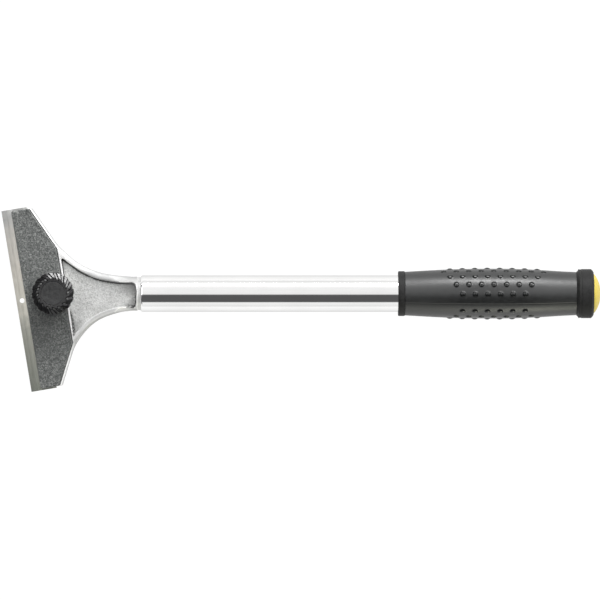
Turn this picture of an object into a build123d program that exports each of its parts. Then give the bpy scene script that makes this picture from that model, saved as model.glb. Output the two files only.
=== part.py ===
from build123d import *
import os
from math import sin, cos, radians

os.makedirs("parts", exist_ok=True)

# Floor scraper, all sizes in millimetres.
# The scraper lies on its sole with the clamp knob up. +X runs along the handle
# towards the end cap, +Z is up, and the origin is the middle of the footprint
# at floor level.

# ---------------------------------------------------------------- dimensions
BOLT_X, BOLT_Y = -135.37, 3.21      # clamp bolt axis, where the head's own axis crosses the handle's
AXIS_Z = 14.249                     # height of the handle axis above the floor
SKEW = 9.5                          # the jaw is turned this far from square to the handle
JAW_MID = -0.9                      # the blade's middle lies this far along the blade from the bolt

BLADE_L, BLADE_W, BLADE_T = 100.6, 14.0, 1.0
BLADE_EDGE = 21.1                   # bolt axis to cutting edge
BLADE_HOLE_R, BLADE_HOLE_IN = 1.35, 3.15
BLADE_BEVEL_W, BLADE_BEVEL_H = 2.2, 0.5   # the edge is ground from both faces

SEAT_Z = 5.0                        # blade seat height
PAD_Z = 5.8                         # pad behind the blade
RIM_Z = 9.2                         # top of the rim round the clamp plate
PLATE_Z0, PLATE_T = 6.0, 3.4
# clamp plate corners: across the blade and along it
PLATE = [(-15.75, 49.3), (-6.0, 49.3), (5.6, 24.8), (5.6, -27.4), (-5.4, -49.5), (-15.75, -49.5)]
PLATE_GAP = 0.3
JAW_FRONT, BLADE_STOP = -15.0, -6.95
RIM_UP = [(-4.29, 49.3), (5.3, 29.0)]     # outer edge of the rim along the plate's slanted sides
RIM_LO = [(-3.67, -49.5), (4.6, -32.9)]
RIDGE_X = 6.95                      # back of the ridge behind the plate
TOP_ROUND = 2.6
COLLAR_R, COLLAR_X0, TUBE_X0 = 9.3, 46.0, 47.9
SPIGOT_R, SPIGOT_X1 = 8.72, 77.0

TUBE_R, TUBE_IR, TUBE_X1 = 10.0, 8.8, 288.0
RIVET_X = (58.5, 70.5)
RIVET_R, RIVET_HEAD_R, RIVET_HEAD_H = 2.0, 3.6, 1.2

INSERT_R, INSERT_FLANGE_R, INSERT_FLANGE_T = 4.5, 5.5, 0.8
THREAD_R, THREAD_MINOR_R, PITCH = 2.95, 2.45, 1.0
WASHER_R, WASHER_IR, WASHER_T = 6.2, 3.25, 1.6
KNOB_Z0, KNOB_H = 11.0, 13.02
KNOB_TOP_R = 6.9
KNOB_TEETH, KNOB_TOOTH, KNOB_SWEEP = 16, 0.6, 22.0
CAP_DISC_R = 6.4
BOLT_HEAD_Z, BOLT_HEAD_AF, BOLT_HEAD_H, BOLT_END_Z = 16.6, 10.0, 4.0, 0.6

CORE_X0, CORE_FRONT_X1 = 188.7, 192.3
CORE_FRONT_R, CORE_MID_R, CORE_BORE_R = 12.3, 11.0, 10.02
COLLAR2_X0, COLLAR2_R, CORE_X1 = 286.4, 13.45, 295.6
CAP_SEAT_X, CAP_SEAT_R, CAP_R, CAP_TIP_X = 289.0, 10.88, 10.85, 299.7
# rubber cover: distance from the bolt axis and outer radius
COVER = [(192.35, 11.95), (203.9, 12.6), (213.0, 13.08), (222.0, 13.42), (232.0, 13.6), (241.0, 13.65),
         (250.0, 13.58), (259.7, 13.27), (268.5, 12.8), (277.5, 12.22), (286.35, 11.8)]
BUMP_BASE_R, BUMP_H = 1.5, 0.62
BUMP_MID_X, BUMP_PITCH = 240.9, 6.84
SEAM_DEG = 23.5                     # the cover's parting line, measured round the axis from the top
BUMP_ROWS = (6, 7, 8, 9, 8, 7, 6)   # bumps in each row, from one parting line to the other
BUMP_STEP_DEG = 22.5

S, C = sin(radians(SKEW)), cos(radians(SKEW))
PLAN = Plane(origin=(BOLT_X, BOLT_Y, 0), x_dir=(1, 0, 0), z_dir=(0, 0, 1))
JAW_AT = (BOLT_X - S * JAW_MID, BOLT_Y + C * JAW_MID, 0)
JAW = Plane(origin=JAW_AT, x_dir=(C, S, 0), z_dir=(0, 0, 1))
JAW_SIDE = Plane(origin=JAW_AT, x_dir=(C, S, 0), z_dir=(S, -C, 0))
LONG = Plane(origin=(BOLT_X, BOLT_Y, AXIS_Z), x_dir=(1, 0, 0), z_dir=(0, -1, 0))
BOLT_UP = Plane(origin=(BOLT_X, BOLT_Y, 0), x_dir=(1, 0, 0), z_dir=(0, -1, 0))
HANDLE_AXIS = Axis((BOLT_X, BOLT_Y, AXIS_Z), (1, 0, 0))
BOLT_AXIS = Axis((BOLT_X, BOLT_Y, 0), (0, 0, 1))


def from_jaw(x, y):
    """A point in the jaw's own plan directions, given in the handle's."""
    return (x * C - (y + JAW_MID) * S, x * S + (y + JAW_MID) * C)


# ------------------------------------------------------------- head casting
# The plan outline and the side profile are each extruded and the overlap kept,
# then the neck is turned round towards the collar.
tip_up, end_up = from_jaw(*RIM_UP[0]), from_jaw(*RIM_UP[1])
tip_lo, end_lo = from_jaw(*RIM_LO[0]), from_jaw(*RIM_LO[1])
front_up, front_lo = from_jaw(JAW_FRONT, RIM_UP[0][1]), from_jaw(JAW_FRONT, RIM_LO[0][1])
slant_up = (end_up[0] - tip_up[0], end_up[1] - tip_up[1])
slant_lo = (end_lo[0] - tip_lo[0], end_lo[1] - tip_lo[1])

with BuildPart() as side_block:
    with BuildSketch(JAW_SIDE):
        with BuildLine():
            Polyline((12, 0), (-8.5, 0), (JAW_FRONT - 1, 3.0), (JAW_FRONT - 1, RIM_Z), (8.2, RIM_Z))
            Spline((8.2, RIM_Z), (25.5, 16.4), (43, 23.8), tangents=[(1, 0), (1, 0)])
            Polyline((43, 23.8), (55, 23.8), (55, 4.8), (41, 4.8))
            Spline((41, 4.8), (26, 2.1), (12, 0), tangents=[(-1, 0), (-1, 0)])
        make_face()
    extrude(amount=70, both=True)

with BuildPart() as trumpet:
    with BuildSketch(LONG):
        with BuildLine():
            Polyline((-40, 0), (COLLAR_X0 + 0.2, 0), (COLLAR_X0 + 0.2, COLLAR_R + 0.05), (43.5, COLLAR_R + 0.05))
            Spline((43.5, COLLAR_R + 0.05), (37, 10.7), (29, 13.3), (21, 18.2), (14, 26.5), (8, 41), (2, 62),
                   tangents=[(-1, 0), (-0.25, 1)])
            Polyline((2, 62), (-40, 62), (-40, 0))
        make_face()
    revolve(axis=HANDLE_AXIS)

recess_up, recess_lo = from_jaw(RIDGE_X, 20.2), from_jaw(RIDGE_X, -23.6)
with BuildPart() as recess_cut:
    with BuildSketch(PLAN):
        with BuildLine():
            Line(recess_lo, recess_up)
            Spline(recess_up, (9.0, 16.1), (17.2, 10.9), (25.4, 7.8), (33.7, 6.4), (42.0, 5.9), tangents=[(0.83, -0.56), (1, 0)])
            Polyline((42.0, 5.9), (44.9, 5.9), (45.7, -7.6), (41.6, -7.3))
            Spline((41.6, -7.3), (38.8, -7.25), (33.3, -7.9), (25.4, -10.6), (19.6, -14.1), recess_lo,
                   tangents=[(-1, 0.05), (-0.6, -0.8)])
        make_face()
        fillet(vertices().filter_by(lambda v: v.X > 44), 2.0)
        fillet(vertices().filter_by(lambda v: v.X < 13 and (v.Y > 15 or v.Y < -20)), 0.8)
    extrude(amount=40)
    with BuildSketch(JAW_SIDE):
        with BuildLine():
            Spline((0, 6.1), (9, 6.2), (26, 12.3), (42, 18.0), (52, 18.6), tangents=[(1, 0), (1, 0)])
            Polyline((52, 18.6), (52, 40), (0, 40), (0, 6.1))
        make_face()
    extrude(amount=60, both=True, mode=Mode.INTERSECT)

with BuildPart() as under_cut:
    with BuildSketch(PLAN.offset(-2)):
        with BuildLine():
            Line((14.8, -17.0), (9.9, 12.6))
            Spline((9.9, 12.6), (22, 8.2), (38, 5.0), tangents=[(0.9, -0.42), (1, 0)])
            Line((38, 5.0), (38, -5.0))
            Spline((38, -5.0), (25, -7.6), (14.8, -17.0), tangents=[(-1, 0), (-0.56, -0.83)])
        make_face()
        fillet(vertices(), 1.6)
    extrude(amount=22)
    with BuildSketch(JAW_SIDE):
        with BuildLine():
            Spline((0, 2.6), (14, 3.0), (28, 8.2), (50, 14.4), tangents=[(1, 0), (1, 0)])
            Polyline((50, 14.4), (50, -10), (0, -10), (0, 2.6))
        make_face()
    extrude(amount=60, both=True, mode=Mode.INTERSECT)

with BuildPart() as head_casting:
    with BuildSketch(PLAN):
        with BuildLine():
            Polyline(end_up, tip_up, front_up, front_lo, tip_lo, end_lo)
            Spline(end_lo, (11.7, -28.7), (17.2, -21.0), (22.7, -15.85), (28.2, -12.8), (35.0, -10.6), (46.2, -9.5),
                   tangents=[slant_lo, (1, 0)])
            Line((46.2, -9.5), (46.2, 9.5))
            Spline((46.2, 9.5), (36.4, 9.8), (28.2, 11.0), (20.0, 13.4), (11.7, 17.9), (6.3, 22.5), end_up,
                   tangents=[(-1, 0), (-slant_up[0], -slant_up[1])])
        make_face()
    extrude(amount=26)
    add(side_block.part, mode=Mode.INTERSECT)
    # the top edge is rounded all the way from the rims along the neck
    fillet(edges().filter_by(lambda e: e.center().Z > 9 and e.center().X > BOLT_X and 8.5 < abs(e.center().Y - BOLT_Y) < 35
                             and abs(e.tangent_at(0.5).Z) < 0.9 and abs(e.tangent_at(0.5).dot(JAW.y_dir)) < 0.95), TOP_ROUND)
    add(trumpet.part, mode=Mode.INTERSECT)
    # blade seat, with a step behind it for the blade's back edge
    with BuildSketch(JAW.offset(SEAT_Z)):
        with Locations((BLADE_STOP - 20, 0)):
            Rectangle(40, 130)
    extrude(amount=20, mode=Mode.SUBTRACT)
    # pocket for the clamp plate
    with BuildSketch(JAW.offset(PAD_Z)):
        with BuildLine():
            Polyline(*PLATE, close=True)
        make_face()
        offset(amount=PLATE_GAP, kind=Kind.INTERSECTION)
    extrude(amount=20, mode=Mode.SUBTRACT)
    add(recess_cut.part, mode=Mode.SUBTRACT)
    add(under_cut.part, mode=Mode.SUBTRACT)
    # collar, ring and the spigot the tube pushes onto
    with BuildSketch(LONG):
        with BuildLine():
            Polyline((COLLAR_X0, 0), (COLLAR_X0, 9.1), (46.5, 9.1), (46.65, 8.85), (46.85, 8.85), (47.0, 9.15),
                     (47.3, 9.15), (47.45, 8.9), (47.6, 8.9), (47.7, 9.2), (TUBE_X0, 9.2), (TUBE_X0, SPIGOT_R),
                     (SPIGOT_X1 - 1.5, SPIGOT_R), (SPIGOT_X1, SPIGOT_R - 1.0), (SPIGOT_X1, 0), (COLLAR_X0, 0))
        make_face()
    revolve(axis=HANDLE_AXIS)
    # bore and flange recess for the threaded insert
    with BuildSketch(PLAN.offset(-1)):
        Circle(INSERT_R + 0.02)
    extrude(amount=20, mode=Mode.SUBTRACT)
    with BuildSketch(PLAN.offset(-1)):
        Circle(INSERT_FLANGE_R + 0.1)
    extrude(amount=1 + INSERT_FLANGE_T + 0.25, mode=Mode.SUBTRACT)
    # rivet holes in the underside of the spigot
    with BuildSketch(PLAN):
        with Locations(*[(x, 0) for x in RIVET_X]):
            Circle(RIVET_R + 0.02)
    extrude(amount=AXIS_Z - 3.9, mode=Mode.SUBTRACT)
head_casting.part.label = "head_casting"
export_step(head_casting.part, "parts/head_casting.step")

with BuildPart() as threaded_insert:
    with BuildSketch(BOLT_UP):
        with BuildLine():
            pts = [(INSERT_FLANGE_R, 0.25), (INSERT_FLANGE_R, 0.25 + INSERT_FLANGE_T),
                   (INSERT_R, 0.25 + INSERT_FLANGE_T), (INSERT_R, PAD_Z - 0.3), (THREAD_R + 0.6, PAD_Z - 0.3)]
            z = PAD_Z - 0.8
            while z > 1.0:
                pts += [(THREAD_R + 0.07, z), (THREAD_R + 0.4, z - 0.35), (THREAD_R + 0.07, z - 0.7)]
                z -= PITCH
            pts += [(THREAD_R + 0.07, 0.7), (THREAD_R + 0.5, 0.25)]
            Polyline(*pts, close=True)
        make_face()
    revolve(axis=BOLT_AXIS)
threaded_insert.part.label = "threaded_insert"
export_step(threaded_insert.part, "parts/threaded_insert.step")

# -------------------------------------------------------------------- blade
half_w = BLADE_W / 2
blade_mid = BLADE_W / 2 - BLADE_EDGE
BEVEL = [(-half_w, 0.4), (-half_w, BLADE_T - BLADE_BEVEL_H), (-half_w + BLADE_BEVEL_W, BLADE_T), (half_w - BLADE_BEVEL_W, BLADE_T),
         (half_w, BLADE_T - BLADE_BEVEL_H), (half_w, 0.4), (half_w - 1.6, 0), (-half_w + 1.6, 0)]
with BuildPart() as blade:
    with BuildSketch(JAW_SIDE):
        with BuildLine():
            Polyline(*[(x + blade_mid, z + SEAT_Z) for x, z in BEVEL], close=True)
        make_face()
    extrude(amount=BLADE_L / 2, both=True)
    with BuildSketch(JAW.offset(SEAT_Z - 1)):
        with Locations((-BLADE_EDGE + BLADE_HOLE_IN, 0), (-BLADE_EDGE + BLADE_W - BLADE_HOLE_IN, 0)):
            Circle(BLADE_HOLE_R)
    extrude(amount=4, mode=Mode.SUBTRACT)
blade.part.label = "blade"
export_step(blade.part, "parts/blade.step")

# -------------------------------------------------- clamp plate and hardware
with BuildPart() as clamp_plate:
    with BuildSketch(JAW.offset(PLATE_Z0)):
        with BuildLine():
            Polyline(*PLATE, close=True)
        make_face()
        fillet(vertices(), 1.0)
    extrude(amount=PLATE_T)
    fillet(faces().sort_by(Axis.Z)[-1].outer_wire().edges(), 0.6)
    with BuildSketch(PLAN.offset(PLATE_Z0)):
        Circle(THREAD_R + 0.35)
    extrude(amount=PLATE_T, mode=Mode.SUBTRACT)
clamp_plate.part.label = "clamp_plate"
export_step(clamp_plate.part, "parts/clamp_plate.step")

PLATE_Z1 = PLATE_Z0 + PLATE_T
with BuildPart() as knob_washer:
    with BuildSketch(PLAN.offset(PLATE_Z1)):
        Circle(WASHER_R)
        Circle(WASHER_IR, mode=Mode.SUBTRACT)
    extrude(amount=WASHER_T)
    fillet(faces().sort_by(Axis.Z)[-1].outer_wire().edges(), 0.3)
knob_washer.part.label = "knob_washer"
export_step(knob_washer.part, "parts/knob_washer.step")

with BuildPart() as clamp_bolt:
    with BuildSketch(PLAN.offset(BOLT_HEAD_Z)):
        RegularPolygon(BOLT_HEAD_AF / 2, 6, major_radius=False)
    extrude(amount=BOLT_HEAD_H)
    with BuildSketch(BOLT_UP):
        with BuildLine():
            pts = [(0, BOLT_HEAD_Z + 0.5), (THREAD_R, BOLT_HEAD_Z + 0.5), (THREAD_R, 12.0)]
            z = 11.6
            while z > BOLT_END_Z + 1.4:
                pts += [(THREAD_R, z), (THREAD_MINOR_R, z - 0.4), (THREAD_R, z - 0.8)]
                z -= PITCH
            pts += [(THREAD_R, BOLT_END_Z + 0.6), (THREAD_MINOR_R, BOLT_END_Z), (0, BOLT_END_Z)]
            Polyline(*pts, close=True)
        make_face()
    revolve(axis=BOLT_AXIS)
    # the corners of the head are turned off
    with BuildSketch(BOLT_UP):
        with BuildLine():
            Polyline((BOLT_HEAD_AF / 2 + 0.05, BOLT_HEAD_Z + BOLT_HEAD_H + 0.1), (8, BOLT_HEAD_Z + BOLT_HEAD_H + 0.1),
                     (8, BOLT_HEAD_Z + BOLT_HEAD_H - 1.6), close=True)
        make_face()
    revolve(axis=BOLT_AXIS, mode=Mode.SUBTRACT)
clamp_bolt.part.label = "clamp_bolt"
export_step(clamp_bolt.part, "parts/clamp_bolt.step")

KNOB_Z1 = KNOB_Z0 + KNOB_H
# half section from the foot up over the ribs and down into the dished top: distance from the bolt axis, height
# above the foot. The second one is the floor of the grooves between the ribs, which end short of the dish
FLANK = [(10.6, 0.0), (11.5, 3.0), (11.5, 11.5), (8.9, 13.0), (8.3, 13.2), (KNOB_TOP_R, KNOB_H)]
INNER = [(10.6 - KNOB_TOOTH, 0.0), (11.5 - KNOB_TOOTH, 3.0), (11.5 - KNOB_TOOTH, 11.1), (8.6, 12.4), (7.7, 12.62),
         (7.35, 13.03), (KNOB_TOP_R, KNOB_H - 0.04)]
with BuildPart() as knob_envelope:
    with BuildSketch(BOLT_UP):
        with BuildLine():
            Polyline((0, KNOB_Z1), (0, KNOB_Z0), *[(r, KNOB_Z0 + z) for r, z in FLANK], close=True)
        make_face()
        fillet(vertices().filter_by(lambda v: v.X > 11.4), 0.5)
    revolve(axis=BOLT_AXIS)

with BuildPart() as knob_ribs:
    with PolarLocations(0, KNOB_TEETH):
        with Locations(Location((8.9, 0, 0), (0, 0, KNOB_SWEEP))):
            Box(8, 2.4, 40)

with BuildPart() as knob_body:
    with Locations((BOLT_X, BOLT_Y, KNOB_Z0 + 6)):
        add(knob_ribs.part)
    add(knob_envelope.part, mode=Mode.INTERSECT)
    with BuildSketch(BOLT_UP):
        with BuildLine():
            Polyline((0, KNOB_Z0 + INNER[-1][1]), (0, KNOB_Z0), *[(r, KNOB_Z0 + z) for r, z in INNER], close=True)
        make_face()
    revolve(axis=BOLT_AXIS)
    with BuildSketch(PLAN.offset(KNOB_Z0)):
        Circle(THREAD_R + 0.05)
    extrude(amount=20, mode=Mode.SUBTRACT)
    with BuildSketch(PLAN.offset(BOLT_HEAD_Z - 0.02)):
        RegularPolygon(BOLT_HEAD_AF / 2 + 0.02, 6, major_radius=False)
    extrude(amount=20, mode=Mode.SUBTRACT)
    with BuildSketch(PLAN.offset(KNOB_Z1 - 2.2)):
        Circle(CAP_DISC_R + 0.05)
    extrude(amount=20, mode=Mode.SUBTRACT)
knob_body.part.label = "knob_body"
export_step(knob_body.part, "parts/knob_body.step")

with BuildPart() as knob_cap:
    with BuildSketch(BOLT_UP):
        with BuildLine():
            Polyline((0, KNOB_Z1 + 0.25), (0, KNOB_Z1 - 3.3), (4.9, KNOB_Z1 - 3.3), (4.9, KNOB_Z1 - 2.15),
                     (CAP_DISC_R, KNOB_Z1 - 2.15), (CAP_DISC_R, KNOB_Z1 - 0.06))
            Spline((CAP_DISC_R, KNOB_Z1 - 0.06), (CAP_DISC_R - 0.35, KNOB_Z1 + 0.1), (0, KNOB_Z1 + 0.25),
                   tangents=[(0, 1), (-1, 0)])
        make_face()
    revolve(axis=BOLT_AXIS)
knob_cap.part.label = "knob_cap"
export_step(knob_cap.part, "parts/knob_cap.step")

# ------------------------------------------------------------- handle tube
with BuildPart() as handle_tube:
    with BuildSketch(LONG):
        with BuildLine():
            Polyline((TUBE_X0 + 0.05, TUBE_IR), (TUBE_X0 + 0.05, TUBE_R - 0.55), (TUBE_X0 + 1.3, TUBE_R),
                     (TUBE_X1 - 0.3, TUBE_R), (TUBE_X1, TUBE_R - 0.3), (TUBE_X1, TUBE_IR), close=True)
        make_face()
    revolve(axis=HANDLE_AXIS)
    with BuildSketch(PLAN):
        with Locations(*[(x, 0) for x in RIVET_X]):
            Circle(RIVET_R + 0.02)
    extrude(amount=AXIS_Z - 4, mode=Mode.SUBTRACT)
handle_tube.part.label = "handle_tube"
export_step(handle_tube.part, "parts/handle_tube.step")

with BuildPart() as rivet:
    with BuildSketch(Plane(origin=(BOLT_X + RIVET_X[0], BOLT_Y, AXIS_Z - TUBE_R), x_dir=(1, 0, 0), z_dir=(0, -1, 0))):
        with BuildLine():
            Line((0, -RIVET_HEAD_H), (0, 0.9))
            Line((0, 0.9), (RIVET_HEAD_R, 0.9))
            Line((RIVET_HEAD_R, 0.9), (RIVET_HEAD_R, 0.25))
            Spline((RIVET_HEAD_R, 0.25), (2.6, -0.8), (0, -RIVET_HEAD_H), tangents=[(0, -1), (-1, 0)])
        make_face()
    revolve(axis=Axis((BOLT_X + RIVET_X[0], BOLT_Y, 0), (0, 0, 1)))
    with BuildSketch(Plane(origin=(BOLT_X, BOLT_Y, AXIS_Z), x_dir=(0, 1, 0), z_dir=(1, 0, 0))):
        Circle(TUBE_R + 0.02)
    extrude(amount=120, mode=Mode.SUBTRACT)
    with BuildSketch(PLAN.offset(AXIS_Z - TUBE_R - 0.3)):
        with Locations((RIVET_X[0], 0)):
            Circle(RIVET_R)
    extrude(amount=6)
rivet_step = RIVET_X[1] - RIVET_X[0]
with BuildPart() as rivets:
    with Locations((0, 0, 0), (rivet_step, 0, 0)):
        add(rivet.part)
rivets.part.label = "rivets"
export_step(rivets.part, "parts/rivets.step")

# --------------------------------------------------------------------- grip
with BuildPart() as grip_core:
    with BuildSketch(LONG):
        with BuildLine():
            Polyline((CORE_X0, CORE_BORE_R), (CORE_X0, CORE_FRONT_R - 0.5), (CORE_X0 + 0.5, CORE_FRONT_R),
                     (CORE_FRONT_X1 - 0.3, CORE_FRONT_R), (CORE_FRONT_X1, CORE_FRONT_R - 0.3), (CORE_FRONT_X1, CORE_MID_R),
                     (COLLAR2_X0, CORE_MID_R), (COLLAR2_X0, COLLAR2_R - 1.1), (COLLAR2_X0 + 0.9, COLLAR2_R),
                     (287.7, COLLAR2_R), (287.9, COLLAR2_R - 0.2), (288.9, COLLAR2_R - 0.2), (289.1, COLLAR2_R),
                     (294.3, COLLAR2_R), (295.2, COLLAR2_R - 0.9), (CORE_X1, COLLAR2_R - 1.6), (CORE_X1, CAP_SEAT_R),
                     (CAP_SEAT_X, CAP_SEAT_R), (CAP_SEAT_X, 8.0), (TUBE_X1 + 0.05, 8.0), (TUBE_X1 + 0.05, CORE_BORE_R),
                     close=True)
        make_face()
    revolve(axis=HANDLE_AXIS)
grip_core.part.label = "grip_core"
export_step(grip_core.part, "parts/grip_core.step")


def cover_radius(x):
    """Outer radius of the cover at a distance from the bolt axis."""
    for (x0, r0), (x1, r1) in zip(COVER, COVER[1:]):
        if x0 <= x <= x1:
            return r0 + (r1 - r0) * (x - x0) / (x1 - x0)
    return COVER[-1][1]


bump_ball_r = (BUMP_BASE_R ** 2 + BUMP_H ** 2) / (2 * BUMP_H)
bumps = []
for side in (-1, 1):
    for row, count in enumerate(BUMP_ROWS):
        deg = SEAM_DEG + side * BUMP_STEP_DEG * (row + 1)
        for i in range(count):
            x = BUMP_MID_X + (i - (count - 1) / 2) * BUMP_PITCH
            r = cover_radius(x) + BUMP_H - bump_ball_r
            bumps.append((BOLT_X + x, BOLT_Y - r * sin(radians(deg)), AXIS_Z + r * cos(radians(deg))))

with BuildPart() as grip_cover:
    with BuildSketch(LONG):
        with BuildLine():
            Polyline((COVER[-1][0], COVER[-1][1]), (COVER[-1][0], 7), (COVER[0][0], 7), (COVER[0][0], COVER[0][1]))
            Spline(*COVER)
        make_face()
    revolve(axis=HANDLE_AXIS)
    with Locations(*bumps):
        Sphere(bump_ball_r)
    with BuildSketch(Plane(origin=(BOLT_X, BOLT_Y, AXIS_Z), x_dir=(0, 1, 0), z_dir=(1, 0, 0))):
        Circle(CORE_MID_R + 0.02)
    extrude(amount=300, mode=Mode.SUBTRACT)
grip_cover.part.label = "grip_cover"
export_step(grip_cover.part, "parts/grip_cover.step")

with BuildPart() as end_cap:
    with BuildSketch(LONG):
        with BuildLine():
            Polyline((CAP_TIP_X, 0), (CAP_SEAT_X + 0.05, 0), (CAP_SEAT_X + 0.05, CAP_R), (CORE_X1 - 0.1, CAP_R))
            Spline((CORE_X1 - 0.1, CAP_R), (297.0, 9.55), (298.9, 5.2), (CAP_TIP_X, 0), tangents=[(0.6, -1), (0, -1)])
        make_face()
    revolve(axis=HANDLE_AXIS)
end_cap.part.label = "end_cap"
export_step(end_cap.part, "parts/end_cap.step")

for item in (head_casting, threaded_insert, blade, clamp_plate, knob_washer, clamp_bolt, knob_body, knob_cap,
             handle_tube, rivets, grip_core, grip_cover, end_cap):
    b = item.part.bounding_box()
    print(item.part.label, len(item.part.solids()), [round(v, 2) for v in (*b.min, *b.max)], round(item.part.volume, 1))
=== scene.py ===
import bmesh
import bpy
import math
import numpy as np
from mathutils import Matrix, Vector


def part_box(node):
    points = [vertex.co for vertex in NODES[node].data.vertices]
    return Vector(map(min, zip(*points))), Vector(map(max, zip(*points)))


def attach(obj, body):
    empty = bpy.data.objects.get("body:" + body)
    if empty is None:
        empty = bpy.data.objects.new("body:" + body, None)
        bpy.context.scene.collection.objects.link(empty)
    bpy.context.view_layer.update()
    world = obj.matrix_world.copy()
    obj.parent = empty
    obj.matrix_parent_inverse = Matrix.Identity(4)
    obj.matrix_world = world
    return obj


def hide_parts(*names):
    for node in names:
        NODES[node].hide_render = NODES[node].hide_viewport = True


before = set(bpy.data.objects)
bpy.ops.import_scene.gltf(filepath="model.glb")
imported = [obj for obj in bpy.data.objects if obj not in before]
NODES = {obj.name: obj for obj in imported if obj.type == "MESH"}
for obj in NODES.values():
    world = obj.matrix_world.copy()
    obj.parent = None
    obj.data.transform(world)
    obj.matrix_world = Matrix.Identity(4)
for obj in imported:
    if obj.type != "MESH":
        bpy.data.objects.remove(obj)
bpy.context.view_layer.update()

# ------------------------------------------------------------ where things are
MM = 0.001
_lo, _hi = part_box("handle_tube")
AY, AZ = (_lo[1] + _hi[1]) / 2, (_lo[2] + _hi[2]) / 2          # handle axis
_lo, _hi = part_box("knob_washer")
BX, BY = (_lo[0] + _hi[0]) / 2, (_lo[1] + _hi[1]) / 2          # clamp bolt axis
SK = math.radians(9.5)
C, S = math.cos(SK), math.sin(SK)


# --------------------------------------------------------------- small helpers
def vnoise(p, scale, seed=0):
    """Smooth noise from -1 to 1 at points p (n x 3, in mm), with cells of that size."""
    q = np.asarray(p, dtype=np.float64) / scale + 1000.0
    i = np.floor(q).astype(np.int64)
    f = q - i
    f = f * f * f * (f * (f * 6 - 15) + 10)
    out = np.zeros(len(q))
    for dx in (0, 1):
        for dy in (0, 1):
            for dz in (0, 1):
                h = ((i[:, 0] + dx) * 73856093) ^ ((i[:, 1] + dy) * 19349663) ^ ((i[:, 2] + dz) * 83492791) ^ (seed * 2654435761)
                h = h & 0xFFFFFFFF
                h = ((h ^ (h >> 15)) * 0x2C1B3C6D) & 0xFFFFFFFF
                h = ((h ^ (h >> 12)) * 0x297A2D39) & 0xFFFFFFFF
                h = h ^ (h >> 15)
                v = (h & 0xFFFFFF) / float(0xFFFFFF) * 2 - 1
                w = ((f[:, 0] if dx else 1 - f[:, 0]) * (f[:, 1] if dy else 1 - f[:, 1]) * (f[:, 2] if dz else 1 - f[:, 2]))
                out += v * w
    return out


def smooth01(x, a, b):
    t = np.clip((x - a) / (b - a), 0, 1)
    return t * t * (3 - 2 * t)


def rounded(points, closed=False, steps=5):
    """A polyline whose corners are rounded. Each point is (a, r) or (a, r, radius)."""
    n = len(points)
    out = []
    for k, pt in enumerate(points):
        rad = pt[2] if len(pt) > 2 else 0
        if rad <= 0 or (not closed and k in (0, n - 1)):
            out.append((pt[0], pt[1]))
            continue
        p = np.array(pt[:2], float)
        a = np.array(points[k - 1][:2], float) - p
        b = np.array(points[(k + 1) % n][:2], float) - p
        la, lb = np.linalg.norm(a), np.linalg.norm(b)
        a, b = a / la, b / lb
        half = math.acos(max(-1, min(1, float(a @ b)))) / 2
        if half > math.pi / 2 - 0.01:
            out.append((pt[0], pt[1]))
            continue
        d = min(rad / math.tan(half), 0.49 * la, 0.49 * lb)
        r = d * math.tan(half)
        centre = p + (a + b) / np.linalg.norm(a + b) * (r / math.sin(half))
        s0, s1 = p + a * d - centre, p + b * d - centre
        t0, t1 = math.atan2(s0[1], s0[0]), math.atan2(s1[1], s1[0])
        dt = (t1 - t0 + math.pi) % (2 * math.pi) - math.pi
        for m in range(steps + 1):
            t = t0 + dt * m / steps
            out.append((centre[0] + r * math.cos(t), centre[1] + r * math.sin(t)))
    return out


def subdivide(points, step, closed=False):
    """The same polyline with no stretch longer than step."""
    out = []
    pts = list(points) + ([points[0]] if closed else [])
    for p, q in zip(pts, pts[1:]):
        n = max(1, int(math.ceil(math.hypot(q[0] - p[0], q[1] - p[1]) / step)))
        for m in range(n):
            out.append((p[0] + (q[0] - p[0]) * m / n, p[1] + (q[1] - p[1]) * m / n))
    if not closed:
        out.append(pts[-1])
    return out


def spline(knots, step):
    """Catmull-Rom curve through (a, r) knots, sampled about every step along a."""
    k = [np.array(p, float) for p in knots]
    k = [2 * k[0] - k[1]] + k + [2 * k[-1] - k[-2]]
    out = []
    for i in range(1, len(k) - 2):
        p0, p1, p2, p3 = k[i - 1:i + 3]
        n = max(1, int(math.ceil(np.linalg.norm(p2 - p1) / step)))
        for m in range(n):
            t = m / n
            out.append(tuple(0.5 * ((2 * p1) + (-p0 + p2) * t + (2 * p0 - 5 * p1 + 4 * p2 - p3) * t * t
                                    + (-p0 + 3 * p1 - 3 * p2 + p3) * t ** 3)))
    out.append(tuple(k[-2]))
    return out


def mesh_from(name, verts, faces):
    me = bpy.data.meshes.new(name)
    me.from_pydata([tuple(v) for v in verts], [], faces)
    me.validate()
    bm = bmesh.new()
    bm.from_mesh(me)
    bmesh.ops.remove_doubles(bm, verts=bm.verts, dist=1e-7)
    bmesh.ops.recalc_face_normals(bm, faces=bm.faces)
    bm.to_mesh(me)
    bm.free()
    me.polygons.foreach_set("use_smooth", [True] * len(me.polygons))
    ob = bpy.data.objects.new(name, me)
    bpy.context.scene.collection.objects.link(ob)
    return ob


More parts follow.
